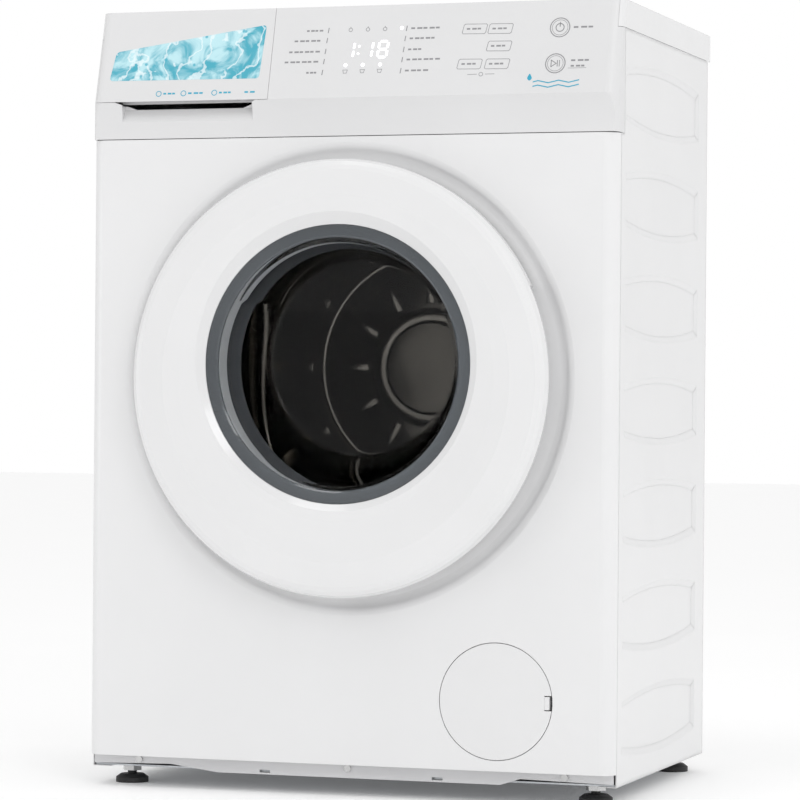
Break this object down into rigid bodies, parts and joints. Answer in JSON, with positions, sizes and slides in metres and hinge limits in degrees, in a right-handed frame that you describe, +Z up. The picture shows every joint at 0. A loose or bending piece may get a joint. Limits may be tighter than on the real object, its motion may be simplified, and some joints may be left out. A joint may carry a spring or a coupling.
{
  "type": "front loading washing machine",
  "caption": "Slim freestanding front-loading washing machine with a round glass door, a leaning control fascia, a detergent drawer, a filter flap and adjustable feet.",
  "frame": {"origin": "on the floor, under the middle of the machine's overall box, door included", "axes": "+Z up, -Y out of the door, +X to the right as seen from the front"},
  "size_m": [0.595, 0.464, 0.85],
  "materials": {
    "white_paint": "satin",
    "white_plastic": "gloss",
    "grey_plastic": "matt",
    "dark_plastic": "matt",
    "galvanised": "zinc coated",
    "stainless": "polished",
    "bearing_steel": "ground",
    "cast_aluminium": "as cast",
    "tub_plastic": "matt",
    "concrete": "cast concrete",
    "seal_rubber": "matt",
    "black_rubber": "matt",
    "glass": "polished",
    "smoke_bezel": "translucent gloss",
    "motor_paint": "satin",
    "blue_plastic": "gloss",
    "board_green": "satin"
  },
  "bodies": {
    "cabinet": {"side_panel_left": "white_paint", "side_panel_right": "white_paint", "front_panel": "white_paint", "rear_panel": "galvanised", "rear_service_cover": "galvanised", "transit_caps": "dark_plastic", "cabinet_screws": "galvanised", "top_cover": "white_plastic", "frame_bars": "galvanised", "control_fascia": "white_plastic", "control_board": "board_green", "dispenser_housing": "grey_plastic", "inlet_valve": "blue_plastic", "water_hoses": "black_rubber", "rear_fittings": "dark_plastic", "pressure_switch": "dark_plastic", "hinge_bracket": "galvanised", "door_lock": "dark_plastic", "door_gasket": "seal_rubber", "gasket_clamp": "stainless", "base_tray": "galvanised", "base_strip": "grey_plastic", "foot_lock_nuts": "dark_plastic", "filter_housing": "dark_plastic", "drain_pump": "dark_plastic", "drain_hoses": "black_rubber", "damper_cylinders": "galvanised"},
    "door": {"door_ring": "white_plastic", "door_frame": "white_plastic", "door_glass": "glass", "window_bezel": "smoke_bezel", "door_hinge_arm": "galvanised", "door_screws": "galvanised"},
    "hook": {"door_hook": "stainless"},
    "drawer": {"drawer_front": "white_plastic", "drawer_tray": "grey_plastic", "drawer_grip_rail": "grey_plastic", "siphon_cap": "blue_plastic"},
    "tub": {"tub_front": "tub_plastic", "tub_rear": "tub_plastic", "tub_fasteners": "galvanised", "counterweights": "concrete", "drum_bearings": "bearing_steel", "motor_housing": "motor_paint", "heater": "stainless", "drive_belt": "black_rubber", "suspension_springs": "galvanised", "damper_rods": "bearing_steel"},
    "drum": {"drum_shell": "stainless", "drum_lifters": "stainless", "drum_spider": "cast_aluminium", "drum_pulley": "cast_aluminium"},
    "motor_rotor": {"motor_pulley": "bearing_steel"},
    "filter_lid": {"filter_cover": "white_plastic"},
    "filter_plug": {"filter_plug": "dark_plastic"},
    "impeller": {"pump_impeller": "dark_plastic"},
    "foot_front_left": {"foot_front_left": "black_rubber"},
    "foot_front_right": {"foot_front_right": "black_rubber"},
    "foot_rear_left": {"foot_rear_left": "black_rubber"},
    "foot_rear_right": {"foot_rear_right": "black_rubber"}
  },
  "joints": [
    {"name": "door_hinge", "type": "hinge", "parent": "cabinet", "child": "door", "pos_m": [-0.214, -0.206, 0.448], "axis": [0, 0, -1], "range_deg": [0, 105]},
    {"name": "hook_pivot", "type": "hinge", "parent": "door", "child": "hook", "pos_m": [0.186, -0.198, 0.448], "axis": [0, 0, 1], "range_deg": [0, 10], "stiffness_Nm_per_rad": 0.2, "springref_deg": -17.19},
    {"name": "drawer_slide", "type": "slide", "parent": "cabinet", "child": "drawer", "axis": [0, -1, 0], "range_m": [0, 0.2]},
    {"name": "tub_float", "type": "slide", "parent": "cabinet", "child": "tub", "axis": [0, 0, 1], "range_m": [-0.008, 0.008], "stiffness_N_per_m": 20000, "springref_m": 0.0157, "deforming": ["suspension_springs"]},
    {"name": "drum_spin", "type": "hinge", "parent": "tub", "child": "drum", "pos_m": [0, -0.008, 0.463], "axis": [0, 1, 0], "continuous": true},
    {"name": "motor_spin", "type": "hinge", "parent": "tub", "child": "motor_rotor", "pos_m": [0, 0.172, 0.125], "axis": [0, 1, 0], "continuous": true},
    {"name": "filter_cover_pull", "type": "slide", "parent": "cabinet", "child": "filter_lid", "axis": [0, -1, 0], "range_m": [0, 0.03]},
    {"name": "filter_plug_turn", "type": "hinge", "parent": "cabinet", "child": "filter_plug", "pos_m": [0.1697, -0.148, 0.1078], "axis": [0, 1, 0], "range_deg": [-100, 0]},
    {"name": "impeller_spin", "type": "hinge", "parent": "cabinet", "child": "impeller", "pos_m": [0.1697, -0.088, 0.1078], "axis": [0, 1, 0], "continuous": true},
    {"name": "foot_front_left_height", "type": "slide", "parent": "cabinet", "child": "foot_front_left", "axis": [0, 0, -1], "range_m": [0, 0.015]},
    {"name": "foot_front_right_height", "type": "slide", "parent": "cabinet", "child": "foot_front_right", "axis": [0, 0, -1], "range_m": [0, 0.015]},
    {"name": "foot_rear_left_height", "type": "slide", "parent": "cabinet", "child": "foot_rear_left", "axis": [0, 0, -1], "range_m": [0, 0.015]},
    {"name": "foot_rear_right_height", "type": "slide", "parent": "cabinet", "child": "foot_rear_right", "axis": [0, 0, -1], "range_m": [0, 0.015]}
  ],
  "couplings": [
    {"joint": "motor_spin", "follows": "drum_spin", "ratio": 12.416}
  ]
}
